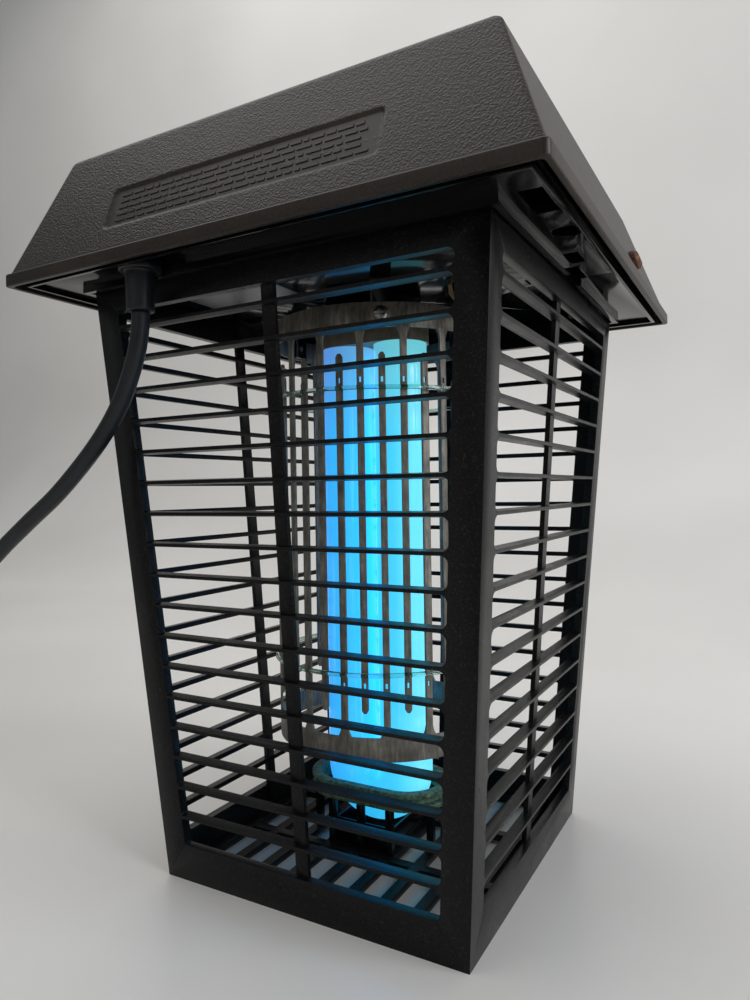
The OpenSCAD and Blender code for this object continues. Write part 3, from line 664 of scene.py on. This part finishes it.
for wall in ("front_guard", "right_guard", "rear_guard", "left_guard"):
    eased(wall, "cage", 0.35)
eased("base_grille", "cage", 0.5)
eased("lamp_cradle", "insulator", 0.3)
eased("ring_posts", "insulator", 0.4)
eased("lamp_ring", "ring", 0.7, 3)
eased("ceiling_pan", "gloss", 0.35)
eased("hood_screws", "rust", 0.5)
eased("lamp_cap", "cap", 0.8, 3)
eased("lamp_socket", "insulator", 0.6)
eased("comb_brackets", "insulator", 0.3)
eased("comb_screws", "steel", 0.2)
eased("upper_comb", "comb", 0.25)
eased("lower_comb", "comb", 0.25)
eased("upper_hoop", "clear", 0.3)
eased("lower_hoop", "clear", 0.3)
eased("cord_gland", "rubber", 0.7, 3)
eased("locating_tabs", "cage", 0.4)
eased("transformer_coil", "tape", 2.0, 3)
eased("ballast_coil", "tape", 1.6, 3)
eased("starter_can", "can", 1.0, 3)
eased("wire_nuts", "nut", 0.8)

for part, finish in {
    "rating_plate": "foil", "lamp_pins": "brass", "red_lead": "red", "beige_lead": "beige",
    "transformer_core": "core", "ballast_core": "core",
    "transformer_screws": "steel", "ballast_screws": "steel", "starter_socket": "white",
    "hanger_saddles": "steel", "saddle_rivets": "steel", "hanger_bail": "steel",
}.items():
    paint(part, finish)


# ---------- lamp ----------

LEG_POINTS = 11   # path points on each straight leg
BEND_POINTS = 41  # path points round the bend


def make_lamp():
    """U tube: a circle carried down one leg, round the half-round bend and up the other."""
    low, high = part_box("lamp_tubes")
    radius = (high.y - low.y) / 2
    mid_x = (low.x + high.x) / 2
    leg = (high.x - low.x) / 2 - radius
    bend_z = low.z + radius + leg
    turn = np.linspace(math.pi, 2 * math.pi, BEND_POINTS)
    bend = np.stack([mid_x + leg * np.cos(turn), np.zeros(BEND_POINTS), bend_z + leg * np.sin(turn)], axis=1)
    leg_z = np.linspace(high.z, bend_z, LEG_POINTS + 1)[:-1]
    down = np.stack([np.full(LEG_POINTS, mid_x - leg), np.zeros(LEG_POINTS), leg_z], axis=1)
    path = np.vstack([down, bend, (down + (2 * leg, 0, 0))[::-1]])
    lamp = tube_piece("lit_tube", path, radius, 48, "lamp", "head")
    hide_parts("lamp_tubes")


make_lamp()


# ---------- stage and light ----------

TABLE_FRONT, TABLE_BACK = -2.5, 1.1  # y of the table's front edge and of the wall
WALL_HEIGHT = 2.2
WALL_BEND = 0.5                      # radius of the curve between table and wall
TABLE_HALF_WIDTH = 3.0


def make_stage():
    """Pale table that runs back and curves up into a wall: a line of points carried sideways."""
    turn = np.linspace(-math.pi / 2, 0, 17)
    curve_y = TABLE_BACK - WALL_BEND + WALL_BEND * np.cos(turn)
    curve_z = WALL_BEND + WALL_BEND * np.sin(turn)
    line = np.vstack([[(TABLE_FRONT, 0)], np.stack([curve_y, curve_z], 1), [(TABLE_BACK, WALL_HEIGHT)]])
    points = np.array([[(x, y, z) for x in (-TABLE_HALF_WIDTH, TABLE_HALF_WIDTH)] for y, z in line])
    mesh = bpy.data.meshes.new("table")
    mesh.from_pydata(points.reshape(-1, 3).tolist(), [], grid_faces(len(line), 2))
    mesh.polygons.foreach_set("use_smooth", np.ones(len(mesh.polygons), bool))
    table = bpy.data.objects.new("table", mesh)
    bpy.context.scene.collection.objects.link(table)
    material, tree, shader, place = start("satin_table", Roughness=0.3)
    colour = ramp(tree, noise(tree, place, 400, 2.0), [(0.3, "#dcdad6"), (0.7, "#e6e4e0")])
    tree.links.new(colour, shader.inputs["Base Color"])
    mesh.materials.append(material)


def area_light(name, at, aim, size, power, colour):
    """Soft square light at a point, facing another."""
    data = bpy.data.lights.new(name, "AREA")
    data.energy, data.size, data.color = power, size, linear(colour)[:3]
    light = bpy.data.objects.new(name, data)
    bpy.context.scene.collection.objects.link(light)
    back = np.array(at, float) - np.array(aim, float)
    back /= np.linalg.norm(back)
    side = np.cross((0, 0, 1), back)
    side /= np.linalg.norm(side)
    matrix = np.eye(4)
    matrix[:3, 0], matrix[:3, 1], matrix[:3, 2], matrix[:3, 3] = side, np.cross(back, side), back, at
    light.matrix_world = matrix.T.tolist()


LIGHTS = (  # name, place, point it faces, size, power, colour
    ("window", (1.45, -0.1, 0.8), (0, 0, 0.2), 1.0, 17, "#f6f8ff"),
    ("overhead", (-0.6, 0.2, 1.9), (-0.3, 0.6, 0.2), 1.9, 19, "#fbfaf8"),
    ("fill", (-0.3, -1.5, 0.9), (0, 0, 0.2), 1.2, 1.6, "#fff3e4"),
)
SURROUNDINGS = 0.26  # strength of the light from all round


def make_light():
    """Dim pale surroundings, a broad window light from the right, a large one overhead and a weak
    fill in front."""
    world = bpy.data.worlds.new("studio")
    bpy.context.scene.world = world
    world.use_nodes = True
    background = world.node_tree.nodes["Background"]
    background.inputs["Color"].default_value = linear("#e8ecf0")
    background.inputs["Strength"].default_value = SURROUNDINGS
    for light in LIGHTS:
        area_light(*light)
    bpy.context.scene.view_settings.view_transform = "Standard"


make_stage()
make_light()
